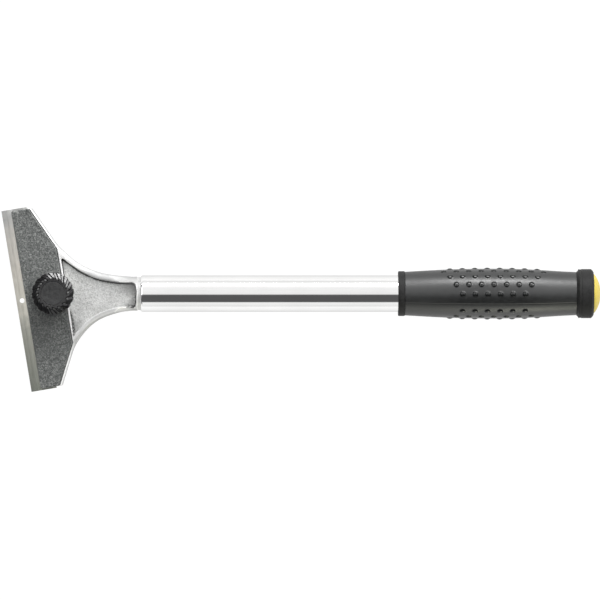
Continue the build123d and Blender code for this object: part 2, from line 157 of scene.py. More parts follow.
def lathe(name, prof, axis, n, closed=False, shape=None, sharp=None):
    """Turns a profile of (a, r) in mm round the handle axis ("x", a counted from the bolt) or the bolt axis ("z", a is height).
    shape(a, r, t) gives the radius, arrays in and out."""
    prof = [(float(a), max(0.0, float(r))) for a, r in prof]
    m = len(prof)
    t = np.arange(n) * 2 * math.pi / n
    verts, rows = [], []
    for a, r in prof:
        if r < 1e-5:
            rows.append([len(verts)])
            verts.append((a, 0.0, 0.0))
        else:
            rows.append(list(range(len(verts), len(verts) + n)))
            verts.extend((a, r, tt) for tt in t)
    v = np.array(verts)
    a, r, tt = v[:, 0], v[:, 1], v[:, 2]
    if shape is not None:
        a, r, tt = shape(a.copy(), r.copy(), tt.copy())
    if axis == "x":
        xyz = np.stack([BX + a * MM, AY - r * np.sin(tt) * MM, AZ + r * np.cos(tt) * MM], 1)
    else:
        xyz = np.stack([BX + r * np.cos(tt) * MM, BY + r * np.sin(tt) * MM, a * MM], 1)
    faces = []
    for k in range(m if closed else m - 1):
        p, q = rows[k], rows[(k + 1) % m]
        if len(p) == 1 and len(q) == 1:
            continue
        for j in range(n):
            j2 = (j + 1) % n
            if len(p) == 1:
                faces.append((p[0], q[j], q[j2]))
            elif len(q) == 1:
                faces.append((p[j], q[0], p[j2]))
            else:
                faces.append((p[j], q[j], q[j2], p[j2]))
    ob = mesh_from(name, xyz, faces)
    if sharp:
        ob.data.set_sharp_from_angle(angle=math.radians(sharp))
    return ob


def remeshed(name, node, voxel_mm, rounds, factor=0.5):
    """A new object with the shape of a CAD node, its edges softened as a casting's or a moulding's are."""
    src = NODES[node]
    tmp = bpy.data.objects.new("tmp_" + name, src.data.copy())
    bpy.context.scene.collection.objects.link(tmp)
    bm = bmesh.new()
    bm.from_mesh(tmp.data)
    bmesh.ops.remove_doubles(bm, verts=bm.verts, dist=1e-6)
    bm.to_mesh(tmp.data)
    bm.free()
    mod = tmp.modifiers.new("grid", "REMESH")
    mod.mode = "VOXEL"
    mod.voxel_size = voxel_mm * MM
    mod.adaptivity = 0.0
    mod = tmp.modifiers.new("soft", "SMOOTH")
    mod.factor, mod.iterations = factor, rounds
    dg = bpy.context.evaluated_depsgraph_get()
    me = bpy.data.meshes.new_from_object(tmp.evaluated_get(dg))
    me.name = name
    bpy.data.objects.remove(tmp)
    me.materials.clear()
    me.polygons.foreach_set("use_smooth", [True] * len(me.polygons))
    ob = bpy.data.objects.new(name, me)
    bpy.context.scene.collection.objects.link(ob)
    return ob


def coords(ob):
    """Vertex positions and normals of a mesh, in mm and unit length."""
    me = ob.data
    n = len(me.vertices)
    co = np.empty(n * 3)
    me.vertices.foreach_get("co", co)
    no = np.empty(n * 3)
    me.vertices.foreach_get("normal", no)
    return co.reshape(-1, 3) / MM, no.reshape(-1, 3)


def set_coords(ob, co_mm):
    ob.data.vertices.foreach_set("co", (co_mm * MM).ravel())
    ob.data.update()


def paint(ob, name, values):
    """A number per vertex that a material can read."""
    at = ob.data.attributes.new(name, "FLOAT", "POINT")
    at.data.foreach_set("value", np.asarray(values, dtype=np.float32))


def jaw_xy(co):
    """Plan position of points (mm) in the jaw's own directions, counted from the bolt: across the blade, and along it."""
    x, y = co[:, 0] - BX / MM, co[:, 1] - BY / MM
    return x * C + y * S, -x * S + y * C


# ------------------------------------------------------------------- materials
class Mat:
    def __init__(self, name):
        self.m = bpy.data.materials.new(name)
        self.m.use_nodes = True
        self.t = self.m.node_tree
        self.b = self.t.nodes["Principled BSDF"]
        self.pos = self.t.nodes.new("ShaderNodeTexCoord").outputs["Object"]

    def put(self, **kw):
        for k, v in kw.items():
            self.b.inputs[k.replace("_", " ")].default_value = v

    def link(self, out, socket):
        self.t.links.new(out, self.b.inputs[socket])

    def node(self, kind, **props):
        n = self.t.nodes.new(kind)
        for k, v in props.items():
            setattr(n, k, v)
        return n

    def stretched(self, sx, sy, sz, turn=0.0):
        """Object coordinates scaled, after a turn about Z."""
        rot = self.node("ShaderNodeMapping")
        rot.inputs["Rotation"].default_value = (0, 0, -turn)
        self.t.links.new(self.pos, rot.inputs["Vector"])
        mp = self.node("ShaderNodeMapping")
        mp.inputs["Scale"].default_value = (sx, sy, sz)
        self.t.links.new(rot.outputs[0], mp.inputs["Vector"])
        return mp.outputs[0]

    def noise(self, size_mm, detail=2.0, rough=0.5, vector=None, distort=0.0):
        n = self.node("ShaderNodeTexNoise")
        n.inputs["Scale"].default_value = 1000.0 / size_mm
        n.inputs["Detail"].default_value = detail
        n.inputs["Roughness"].default_value = rough
        n.inputs["Distortion"].default_value = distort
        self.t.links.new(vector or self.pos, n.inputs["Vector"])
        return n.outputs["Fac"]

    def cells(self, size_mm, vector=None, feature="F1", smooth=0.4):
        n = self.node("ShaderNodeTexVoronoi", feature=feature)
        n.inputs["Scale"].default_value = 1000.0 / size_mm
        if feature == "SMOOTH_F1":
            n.inputs["Smoothness"].default_value = smooth
        self.t.links.new(vector or self.pos, n.inputs["Vector"])
        return n.outputs["Distance"]

    def span(self, value, a, b, lo, hi, smooth=True):
        """value from a..b becomes lo..hi, held at the ends."""
        n = self.node("ShaderNodeMapRange", interpolation_type="SMOOTHSTEP" if smooth else "LINEAR")
        for k, v in zip(("From Min", "From Max", "To Min", "To Max"), (a, b, lo, hi)):
            n.inputs[k].default_value = v
        self.t.links.new(value, n.inputs["Value"])
        return n.outputs[0]

    def math(self, op, a, b=None):
        n = self.node("ShaderNodeMath", operation=op)
        for k, v in enumerate((a, b)):
            if v is None:
                continue
            if isinstance(v, (int, float)):
                n.inputs[k].default_value = v
            else:
                self.t.links.new(v, n.inputs[k])
        return n.outputs[0]

    def ramp(self, value, stops):
        n = self.node("ShaderNodeValToRGB")
        els = n.color_ramp.elements
        while len(els) < len(stops):
            els.new(0.5)
        for e, (p, c) in zip(els, stops):
            e.position = p
            e.color = (*c, 1) if len(c) == 3 else c
        self.t.links.new(value, n.inputs["Fac"])
        return n.outputs["Color"]

    def mix(self, fac, a, b, mode="MIX"):
        n = self.node("ShaderNodeMix", data_type="RGBA", blend_type=mode)
        for k, v in ((0, fac), (6, a), (7, b)):
            if isinstance(v, (int, float)):
                n.inputs[k].default_value = v
            elif isinstance(v, tuple):
                n.inputs[k].default_value = (*v, 1) if len(v) == 3 else v
            else:
                self.t.links.new(v, n.inputs[k])
        return n.outputs[2]

    def bump(self, height, distance_mm, strength=1.0, below=None):
        n = self.node("ShaderNodeBump")
        n.inputs["Strength"].default_value = strength
        n.inputs["Distance"].default_value = distance_mm * MM
        self.t.links.new(height, n.inputs["Height"])
        if below is not None:
            self.t.links.new(below, n.inputs["Normal"])
        return n.outputs[0]

    def attr(self, name):
        return self.node("ShaderNodeAttribute", attribute_name=name).outputs["Fac"]

    def on(self, *obs):
        for ob in obs:
            ob.data.materials.clear()
            ob.data.materials.append(self.m)
        return self


def cast_alloy():
    """Bare shot-blasted casting: sandy in the recess, smoother and brighter where it was tumbled, with painted shade in
    the corners, on the flanks and round the rims, and painted light and shade across the recess.
    """
    m = Mat("cast_alloy")
    sandy, rub_and_glint, painted_shade = m.attr("sandy"), m.attr("rub_and_glint"), m.attr("painted_shade")
    fine, mid, wide = m.noise(0.62, 3, 0.6), m.noise(1.5, 3, 0.55), m.noise(14, 2, 0.5)
    grain = m.math("ADD", m.math("MULTIPLY", fine, 0.65), m.math("MULTIPLY", mid, 0.35))
    skin = m.ramp(grain, [(0.34, (0.38, 0.385, 0.372)), (0.45, (0.585, 0.59, 0.575)), (0.54, (0.74, 0.745, 0.73)), (0.66, (0.90, 0.905, 0.89))])
    calm = m.ramp(grain, [(0.34, (0.60, 0.60, 0.595)), (0.64, (0.72, 0.72, 0.715))])
    col = m.mix(sandy, calm, skin)
    col = m.mix(m.span(wide, 0.35, 0.7, 0.0, 0.12), col, (0.62, 0.625, 0.63))
    col = m.mix(m.math("MULTIPLY", rub_and_glint, 0.7), col, (0.93, 0.93, 0.925))
    # painted shade in the corners and under the walls, broken into dark specks
    specks = m.span(m.math("ADD", m.math("MULTIPLY", fine, 0.8), m.math("MULTIPLY", painted_shade, 0.55)), 0.50, 0.66, 0.0, 1.0)
    col = m.mix(m.math("MULTIPLY", m.math("MINIMUM", m.math("MULTIPLY", painted_shade, 2.2), 1.0), specks), col, (0.035, 0.036, 0.035))
    # painted shade: the outer flanks are darkened
    col = m.mix(m.math("MULTIPLY", m.attr("side_shade"), 0.85), col, m.mix(grain, (0.22, 0.222, 0.22), (0.42, 0.422, 0.42)))
    # painted light and shade in the recess, then painted grey shade where the top turns down to the recess, along the
    # lower lip, at the front rims and in two fine dark rings round the collar
    col = m.mix(1.0, col, m.attr("painted_light"), "MULTIPLY")
    col = m.mix(m.attr("grey_shade"), col, m.mix(grain, (0.24, 0.242, 0.238), (0.36, 0.362, 0.356)))
    m.link(col, "Base Color")
    m.put(Metallic=0.22, IOR=1.55)
    m.link(m.math("SUBTRACT", m.span(mid, 0.3, 0.7, 0.42, 0.60), m.math("MULTIPLY", rub_and_glint, 0.16)), "Roughness")
    b = m.bump(fine, 0.05, 0.7)
    b = m.bump(mid, 0.06, 0.5, b)
    m.link(b, "Normal")
    return m


def hammered():
    """Dark grey hammered paint: rounded dimples with brighter tops."""
    m = Mat("hammered_paint")
    high, edge = m.attr("high"), m.attr("edge")
    fine, mid, wide = m.noise(0.4, 2, 0.5), m.noise(0.62, 3, 0.6, distort=0.4), m.noise(24, 2, 0.5)
    t = m.math("ADD", m.math("MULTIPLY", high, 0.5), m.math("MULTIPLY", mid, 0.5))
    col = m.ramp(t, [(0.32, (0.040, 0.043, 0.042)), (0.45, (0.086, 0.091, 0.088)), (0.55, (0.150, 0.156, 0.151)), (0.68, (0.270, 0.278, 0.268))])
    col = m.mix(m.span(wide, 0.38, 0.66, 0.0, 0.3), col, (0.108, 0.114, 0.111))
    # painted shadow: darkened where the knob's shade falls on the plate
    col = m.mix(1.0, col, m.attr("painted_light"), "MULTIPLY")
    col = m.mix(m.math("MULTIPLY", edge, 0.45), col, (0.36, 0.365, 0.355))
    m.link(col, "Base Color")
    m.put(Metallic=0.2)
    m.link(m.span(fine, 0.3, 0.7, 0.42, 0.58), "Roughness")
    m.link(m.bump(mid, 0.04, 0.5, m.bump(fine, 0.02, 0.5)), "Normal")
    return m


def ground_steel():
    """Blade: ground along its length, polished bevels and light handling marks, with painted light: a warm bright band
    along the strip and a brighter strip beside the clamp plate.
    """
    m = Mat("blade_steel")
    along = m.stretched(1.0, 0.03, 1.0, SK)
    lines = m.noise(0.16, 3, 0.6, along)
    broad = m.noise(1.2, 2, 0.5, m.stretched(1.0, 0.08, 1.0, SK))
    marks = m.noise(9, 3, 0.6, distort=0.5)
    col = m.ramp(lines, [(0.30, (0.36, 0.35, 0.325)), (0.50, (0.47, 0.46, 0.43)), (0.70, (0.58, 0.565, 0.535))])
    col = m.mix(m.span(broad, 0.35, 0.65, 0.0, 0.35), col, (0.55, 0.54, 0.52))
    col = m.mix(m.span(marks, 0.50, 0.70, 0.0, 0.25), col, (0.37, 0.375, 0.35))
    # painted light and reflection: bright and warm along the middle of the strip, darker and greener towards one end
    # and cooler at the other
    y = m.node("ShaderNodeSeparateXYZ")
    m.t.links.new(m.pos, y.inputs[0])
    painted_light = m.math("ADD", y.outputs["Y"], m.math("MULTIPLY", m.math("SUBTRACT", marks, 0.5), 0.03))
    col = m.mix(1.0, col, m.ramp(m.span(painted_light, -0.05, 0.05, 0.0, 1.0, smooth=False),
                                 [(0.0, (0.37, 0.395, 0.365)), (0.20, (0.50, 0.52, 0.485)), (0.30, (0.58, 0.59, 0.555)), (0.42, (1.00, 0.995, 0.94)), (0.70, (0.99, 0.965, 0.93)), (1.0, (0.76, 0.78, 0.81))]), "MULTIPLY")
    # painted light: brighter towards the clamp plate's edge, against the shade and dark reflection the plate throws
    # there; darker on the bevel
    u = m.node("ShaderNodeSeparateXYZ")
    m.t.links.new(m.stretched(1.0, 1.0, 1.0, SK), u.inputs[0])
    u = u.outputs["X"]
    rub_and_glint = m.math("MULTIPLY", m.span(u, -0.1522, -0.1489, 1.0, 1.55), m.span(u, -0.1534, -0.1518, 0.88, 1.0))
    rub_and_glint = m.math("MULTIPLY", rub_and_glint, m.span(u, -0.1485, -0.1479, 1.0, 0.65))
    col = m.mix(1.0, col, rub_and_glint, "MULTIPLY")
    m.link(col, "Base Color")
    m.put(Metallic=0.85)
    m.link(m.span(m.math("ADD", m.math("MULTIPLY", lines, 0.5), m.math("MULTIPLY", marks, 0.5)), 0.35, 0.65, 0.30, 0.44), "Roughness")
    m.link(m.bump(lines, 0.01, 0.5), "Normal")
    return m


def chrome():
    """Bright plate with faint polishing haze along the tube."""
    m = Mat("chrome_plate")
    haze = m.noise(1.1, 4, 0.6, m.stretched(0.035, 1.0, 1.0))
    cloud = m.noise(16, 3, 0.5)
    col = m.ramp(m.math("ADD", m.math("MULTIPLY", haze, 0.5), m.math("MULTIPLY", cloud, 0.5)),
                 [(0.35, (0.85, 0.85, 0.845)), (0.65, (0.91, 0.91, 0.905))])
    m.link(col, "Base Color")
    m.put(Metallic=1.0, Specular_Tint=(0.7, 0.7, 0.7, 1))
    m.link(m.span(haze, 0.3, 0.7, 0.055, 0.095), "Roughness")
    m.link(m.bump(haze, 0.004, 0.25), "Normal")
    return m


def plain_steel(name, tint, lo, hi, size=0.5):
    m = Mat(name)
    grain, patch = m.noise(size, 3, 0.6), m.noise(3.0, 2, 0.5)
    dark = tuple(c * 0.72 for c in tint)
    m.link(m.mix(m.span(patch, 0.35, 0.65, 0.0, 0.5), m.ramp(grain, [(0.3, dark), (0.7, tint)]), tuple(c * 0.85 for c in tint)), "Base Color")
    m.put(Metallic=1.0)
    m.link(m.span(grain, 0.3, 0.7, lo, hi), "Roughness")
    m.link(m.bump(grain, 0.01, 0.5), "Normal")
    return m


def moulded(name, base, light, lo, hi, grain_mm, depth_mm, spec=0.5, glint_amount=None, coat=0.0, glint_colour=None, matt=False, rougher=None):
    """A moulded plastic or rubber skin: fine grain, uneven gloss and, where asked, a paler painted highlight from a
    per-vertex mask (used on the knob's groove ends).
    """
    m = Mat(name)
    grain, patch, wide = m.noise(grain_mm, 3, 0.6), m.noise(2.2, 3, 0.55), m.noise(18, 2, 0.5)
    col = m.ramp(m.math("ADD", m.math("MULTIPLY", grain, 0.5), m.math("MULTIPLY", patch, 0.5)), [(0.34, base), (0.66, light)])
    col = m.mix(m.span(wide, 0.35, 0.7, 0.0, 0.4), col, tuple((a + b) / 2 for a, b in zip(base, light)))
    if glint_amount:
        col = m.mix(m.math("MULTIPLY", m.attr("rub_and_glint"), glint_amount), col, glint_colour or tuple(min(1, c * 2.2) for c in light))
    m.link(col, "Base Color")
    m.put(Specular_IOR_Level=spec, Coat_Weight=coat, Coat_Roughness=0.12)
    rough = m.span(m.math("ADD", m.math("MULTIPLY", patch, 0.6), m.math("MULTIPLY", grain, 0.4)), 0.35, 0.65, lo, hi)
    if rougher:
        rough = m.math("ADD", rough, m.math("MULTIPLY", m.attr("rougher"), rougher))
    m.link(rough, "Roughness")
    if matt:
        m.link(m.span(m.attr("matt"), 0.0, 1.0, spec, 0.03), "Specular IOR Level")
    m.link(m.bump(grain, depth_mm, 0.6), "Normal")
    return m


# ------------------------------------------------------------------ head casting
head = remeshed("cast_head", "head_casting", 0.26, 4)
co, no = coords(head)
jx, jy = jaw_xy(co)
px, py = co[:, 0] - BX / MM, co[:, 1] - BY / MM
top = no[:, 2]
# the recess behind the ridge, and the cast floor under the neck, keep the mould's sandy skin
wall_up = np.interp(px, [3.5, 9.0, 13.0, 17.2, 25.4, 33.7, 42.0, 43.6, 44.6, 45.1], [19.9, 16.1, 13.2, 10.9, 7.8, 6.4, 5.9, 5.8, 5.0, 3.8])
wall_lo = np.interp(px, [10.8, 14.9, 19.6, 25.4, 33.3, 38.8, 41.6, 43.9, 45.0, 45.5], [-22.9, -18.8, -14.1, -10.6, -7.9, -7.25, -7.3, -7.3, -6.5, -5.4])
d_up, d_lo, d_back = wall_up - py, py - wall_lo, jx - 6.95
d_end = 44.9 + 0.8 * smooth01(-py, -5.9, 7.6) + 0.55 * np.exp(-((py - 1.0) / 4.2) ** 2) - px
inside = smooth01(d_back, 0.3, 1.2) * smooth01(d_end, 0.0, 0.5) * smooth01(d_up, -0.2, 0.5) * smooth01(d_lo, -0.2, 0.5)
recess = inside * smooth01(top, 0.2, 0.75)
under = smooth01(-top, 0.3, 0.8) * smooth01(co[:, 2], 0.4, 1.2)
sandy = np.clip(recess + 0.7 * under, 0, 1)
turned = smooth01(px, 45.8, 46.1)
g1, g2, g3 = vnoise(co, 0.75, 1), vnoise(co, 1.5, 2), vnoise(co, 9.0, 3)
relief = (0.045 * g1 + 0.035 * g2) * sandy + (0.010 * g2 + 0.035 * g3) * (1 - sandy)
flat = smooth01(-top, 0.9, 0.99) * (1 - smooth01(co[:, 2], 0.05, 0.3))
relief = relief * (1 - turned) * (1 - flat)
seat = smooth01(top, 0.8, 0.95) * (1 - smooth01(jx, 5.6, 6.0)) * (1 - smooth01(co[:, 2], 6.2, 6.6))
relief *= 1 - seat
relief = np.clip(relief, -0.12, 0.06)
co = co + no * relief[:, None]
co[:, 2] = np.maximum(co[:, 2], 0.0)
# the end wall of the recess bows towards the collar
co[:, 0] += 0.50 * np.exp(-((py - 1.0) / 3.8) ** 2) * smooth01(px, 41.5, 44.8) * (1 - smooth01(px, 45.3, 46.0)) * smooth01(co[:, 2], 14.0, 16.0)
# the turned flare of the neck runs into the rounded top edge without a crease
ed = np.empty(len(head.data.edges) * 2, dtype=np.int64)
head.data.edges.foreach_get("vertices", ed)
ed = ed.reshape(-1, 2)
soften = smooth01(-d_up, 0.5, 1.3) * smooth01(px, 20, 27) * (1 - smooth01(px, 44.2, 45.4)) * smooth01(py, 3.0, 5.0) * smooth01(co[:, 2], 11.0, 13.0)
live = soften > 0
ed_s = ed[live[ed[:, 0]] | live[ed[:, 1]]]
deg = np.maximum(np.bincount(ed_s.ravel(), minlength=len(co)), 1)
for _ in range(150):
    for k in range(3):
        acc = np.bincount(ed_s[:, 0], co[ed_s[:, 1], k], len(co)) + np.bincount(ed_s[:, 1], co[ed_s[:, 0], k], len(co))
        co[live, k] += (0.6 * soften * (acc / deg - co[:, k]))[live]
set_coords(head, co)
# convex edges are rubbed bright; the brightening also stands in for the highlight along the rims
me = head.data
n_v = len(me.vertices)
co2, no2 = coords(head)
d = co2[ed[:, 1]] - co2[ed[:, 0]]
bend = np.einsum("ij,ij->i", d, no2[ed[:, 1]] - no2[ed[:, 0]]) / np.maximum(np.einsum("ij,ij->i", d, d), 1e-9)
curv = np.zeros(n_v)
cnt = np.zeros(n_v)
for k in (0, 1):
    np.add.at(curv, ed[:, k], bend)
    np.add.at(cnt, ed[:, k], 1)
curv /= np.maximum(cnt, 1)
for _ in range(3):
    acc = np.zeros(n_v)
    for k in (0, 1):
        np.add.at(acc, ed[:, k], curv[ed[:, 1 - k]])
    curv = 0.5 * curv + 0.5 * acc / np.maximum(cnt, 1)
rub_and_glint = smooth01(curv, 0.12, 0.7) * (1 - sandy * 0.6)
# painted shade: dark under the steep upper wall and round the collar end, more thinly along the ridge and the lower
# wall, with a broad lighter shade below the upper wall and towards the collar end
below_top = smooth01(np.interp(px, [6, 16, 26, 36, 44], [8.6, 11.0, 15.2, 19.4, 22.4]) - co2[:, 2], 0.0, 0.6)
g4 = vnoise(co2, 1.1, 4)
painted_shade = np.maximum.reduce([
    1 - smooth01(d_up, 0.55 + 0.15 * g4, 1.25 + 0.4 * g4),
    0.95 * (1 - smooth01(d_end, 0.45, 1.15 + 0.5 * g4)),
    0.75 * (1 - smooth01(d_lo, 0.0, 0.9)) * smooth01(px, 41, 43.8),
    0.40 * (1 - smooth01(d_lo, 0.8, 2.6)) * smooth01(px, 34, 42),
    0.16 * (1 - smooth01(d_lo, 0.05, 0.4)),
    0.70 * (1 - smooth01(d_back, 0.2, 0.7 + 0.3 * g4)) * smooth01(py, -4, 14),
    0.50 * (1 - smooth01(d_back, 0.2, 2.6 + 0.8 * g4)) * smooth01(-py, 3, 12),
    0.32 * (1 - smooth01(d_end, 1.2, 6.0)),
    (0.34 - 0.10 * smooth01(px, 32, 40)) * (1 - smooth01(d_up, 0.8, 3.4))])
near = (d_up > -0.7) & (d_lo > -0.7) & (d_end > -0.6) & (d_back > -0.4)
painted_shade = np.where(near & (co2[:, 2] > 5.9), painted_shade * below_top, 0.0) * smooth01(no2[:, 2], -0.2, 0.05) * (1 - smooth01(px, 44.9, 45.4) * smooth01(-py, 4.6, 5.6))
paint(head, "painted_shade", painted_shade)
# painted shade: the outer flanks are darkened, as the sides would be in shade along the outline
flank_out = (1 - smooth01(np.abs(no2[:, 2]), 0.16, 0.74)) * (1 - near.astype(float)) * (1 - turned) * smooth01(jx, -6.0, -5.0)
paint(head, "side_shade", flank_out)
# painted grey shade: a soft band outside the upper wall and over the upper side near the collar, a flat band on the
# lower lip, bands at the front rims, two fine dark rings round the collar and a wash over the collar, heavier on its
# upper side
shy = smooth01(px, 3.0, 9.0) * (1 - smooth01(px, 42.5, 45.0)) * smooth01(no2[:, 2], 0.3, 0.6)
grey_shade = np.maximum.reduce([
    (0.62 + 0.30 * smooth01(px, 22, 34)) * np.clip(1 - np.abs(d_up + 0.2) / 3.4, 0, 1) ** (1.6 - 0.6 * smooth01(px, 22, 34)) * (d_up < 0.4) * shy,
    0.62 * smooth01(px, 34, 42) * smooth01(py, -2.0, 3.0),
    (0.13 - 0.08 * np.exp(-((px - 26) / 7.0) ** 2) + 0.12 * (1 - smooth01(-d_lo, 0.5, 1.1)) + 0.46 * smooth01(-d_lo, 2.3, 2.9)) * smooth01(-d_lo, -0.5, 0.1) * smooth01(-py, 4.0, 7.0)
    * smooth01(jx, 5.0, 7.0) * (1 - smooth01(px, 43.5, 45.5)),
    0.30 * smooth01(-py, 12.0, 22.0) * (1 - smooth01(px, 14.0, 20.0)) * smooth01(jx, 3.0, 5.0),
    0.32 * smooth01(py, 22.0, 30.0) * smooth01(jx, 3.0, 5.0),
    (0.30 * np.exp(-((px - 46.5) / 0.20) ** 2) + 0.70 * np.exp(-((px - 47.6) / 0.26) ** 2)) * (0.25 + 0.75 * smooth01(py, -6, 0)), (0.06 + 0.26 * smooth01(py, -5, 2)) * turned])
grey_shade = grey_shade * smooth01(co2[:, 2], 6.5, 8.0)
# painted light and shade in the recess: lightened beside the knob and along the middle, darkened in the lower corner,
# along the lower wall and towards the collar end; the lower lip is lightened too
painted_light = (1 + 0.30 * np.exp(-((px - 16) ** 2 + (py - 3) ** 2) / 11.0 ** 2) + 0.14 * np.exp(-((px - 28) ** 2 + (py - 1) ** 2) / 9.0 ** 2)
        - 0.40 * np.exp(-((px - 12.5) ** 2 / 4.5 ** 2 + (py + 18) ** 2 / 5.0 ** 2)) - 0.10 * smooth01(-py, 5, 10) * smooth01(px, 18, 26))
painted_light = painted_light - 0.17 * (1 - smooth01(d_lo, 1.0, 5.5)) * smooth01(px, 18, 27) - 0.20 * smooth01(px, 38.5, 43.0)
lip = smooth01(-d_lo, -0.3, 0.2) * (1 - smooth01(-d_lo, 1.9, 2.6)) * smooth01(-py, 4.0, 7.0) * smooth01(px, 14, 20) * (1 - smooth01(px, 41.0, 44.0))
paint(head, "painted_light", 1 + (painted_light - 1) * recess + 0.30 * lip)
paint(head, "grey_shade", grey_shade)
paint(head, "sandy", sandy)
paint(head, "rub_and_glint", rub_and_glint)
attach(head, "handle"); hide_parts("head_casting")
cast_alloy().on(head)

# ------------------------------------------------------------------- clamp plate
plate = remeshed("hammered_plate", "clamp_plate", 0.2, 3)
co, no = coords(plate)
jx, jy = jaw_xy(co)
h1, h2, h3 = vnoise(co, 0.46, 11), vnoise(co, 0.8, 12), vnoise(co, 0.40, 13)
high = np.clip(0.5 + 0.36 * h1 + 0.16 * h2 + 0.16 * h3, 0, 1)
up = smooth01(no[:, 2], 0.3, 0.9)
seat_side = smooth01(-no[:, 2], 0.3, 0.9)
ring = 1 - smooth01(np.hypot(co[:, 0] - BX / MM, co[:, 1] - BY / MM), 6.4, 7.0)
relief = (high - 0.85) * 0.09 * (1 - seat_side) * (1 - ring)
co = co + no * relief[:, None]
set_coords(plate, co)
edge = np.clip(1 - np.abs(no[:, 2]) * 1.0, 0, 1) * smooth01(co[:, 2], 8.2, 9.0)
paint(plate, "high", high)
paint(plate, "edge", edge)
# painted shadow: the plate is darkened below and beside the knob, most at 15-22 mm below the bolt, as the knob's shade
# would fall there
paint(plate, "painted_light", np.interp(co[:, 1] - BY / MM + 0.6 * vnoise(co, 4.0, 14), [-48, -40, -30, -22, -15, -6, 8, 30, 50], [0.84, 0.82, 0.78, 0.70, 0.67, 0.84, 0.97, 0.98, 0.90]))
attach(plate, "clamp"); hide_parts("clamp_plate")
hammered().on(plate)

# --------------------------------------------------------------------- the knob
KZ0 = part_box("knob_body")[0][2] / MM
KZ1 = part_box("knob_body")[1][2] / MM
DISH = KZ0 + 13.14
FLANK = [(0.0, 10.6, 0.5), (3.0, 11.5, 4.0), (11.5, 11.5, 0.35), (13.0, 8.9, 0.5), (13.2, 8.3, 0.5), (13.14, 6.9)]
flank = [(KZ0 + a, r) for a, r in subdivide(rounded(FLANK, steps=7), 0.11)]
RIBS = 16


def groove(a, r, t):
    """How far into a groove between two ribs a point is (0 outside, 1 on the floor), and how near its inner end (0..1)."""
    run = np.clip((r - 7.2) / 4.3, 0, 1)
    sweep = np.radians(17.0) * (0.4 * run * run * (3 - 2 * run) + 0.6 * run)   # the ribs swing round as they run outwards
    u = (RIBS * (t - sweep) / (2 * math.pi)) % 1.0
    s = (0.5 - np.abs(u - 0.5)) * 2 * math.pi / RIBS * r                       # mm from the groove's middle line
    half = 0.92 + 0.22 * smooth01(r, 8.2, 11.3)
    q = np.where(r < 8.35, np.hypot(s, 8.35 - r), s) / half                    # the inner end is round
    return 1 - smooth01(q, 0.56, 1.0), 1 - smooth01(q, 0.35, 0.62), smooth01(q, 0.50, 0.68) * (1 - smooth01(q, 1.0, 1.2))


def ribbed(a, r, t):
    lean = smooth01((a - KZ0) / 13.2, 0.80, 0.87)              # the grooves turn from the side on to the sloping top
    floor_ = groove(a, r, t)[0]
    low = 0.2 + 0.8 * smooth01((a - KZ0) / 13.2, 0.0, 0.15)
    depth = 0.34 * (1 - lean) * low + 0.66 * lean
    cut = np.where((r > 7.2) & (a > KZ0 + 0.05), depth * floor_, 0.0)
    return a - cut * 0.87 * lean, r - cut * (1 - 0.5 * lean), t


knob_prof = ([(KZ0 + 0.6, 3.0), (KZ0, 3.0 + 0.6), (KZ0, 9.8)] + flank
             + [(DISH - 0.01, 6.60), (DISH - 0.06, 6.47), (DISH - 1.2, 6.45), (DISH - 2.1, 6.45), (DISH - 2.1, 3.0)])
knob = lathe("ribbed_knob", subdivide(knob_prof, 0.3, closed=True), "z", RIBS * 36, closed=True, shape=ribbed)
co, _ = coords(knob)
kx, ky = co[:, 0] - BX / MM, co[:, 1] - BY / MM
kr = np.hypot(kx, ky)
_, oval, wall = groove(co[:, 2], kr + 0.25 * smooth01(kr, 7.6, 8.2), np.arctan2(ky, kx))
# painted highlight: the rounded inner ends of the grooves are lightened, standing in for the glint they catch
paint(knob, "rub_and_glint", oval * (1 - smooth01(kr, 8.4, 9.2)) * (co[:, 2] > KZ0 + 11.6))
paint(knob, "matt", wall * (co[:, 2] > KZ0 + 10.5))
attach(knob, "knob"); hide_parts("knob_body")
moulded("knob_black", (0.004, 0.004, 0.0044), (0.010, 0.010, 0.0105), 0.14, 0.24, 0.6, 0.010, spec=0.65, coat=0.0, glint_amount=0.9, glint_colour=(0.12, 0.123, 0.12), matt=True).on(knob)

cap_prof = rounded([(DISH - 3.3, 0.0), (DISH - 3.3, 4.85, 0.2), (DISH - 2.15, 4.85), (DISH - 2.15, 6.4, 0.1), (DISH - 0.02, 6.4, 0.08), (DISH + 0.14, 6.2, 0.15),
                    (DISH + 0.02, 4.4, 3.0), (DISH - 0.14, 2.0, 3.0), (DISH - 0.19, 0.0)])
cap = lathe("knob_disc", subdivide(cap_prof, 0.25), "z", 160)
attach(cap, "knob"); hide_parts("knob_cap")
moulded("disc_grey", (0.0, 0.0, 0.0002), (0.063, 0.0635, 0.064), 0.36, 0.66, 0.9, 0.10, spec=0.27).on(cap)

WZ0, WZ1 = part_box("knob_washer")[0][2] / MM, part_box("knob_washer")[1][2] / MM
wash = lathe("pressed_washer", subdivide(rounded([(WZ0, 3.25, 0.15), (WZ0, 6.2, 0.25), (WZ1, 6.2, 0.25), (WZ1, 3.25, 0.15)], closed=True), 0.3, closed=True),
             "z", 128, closed=True)
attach(wash, "clamp"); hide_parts("knob_washer")

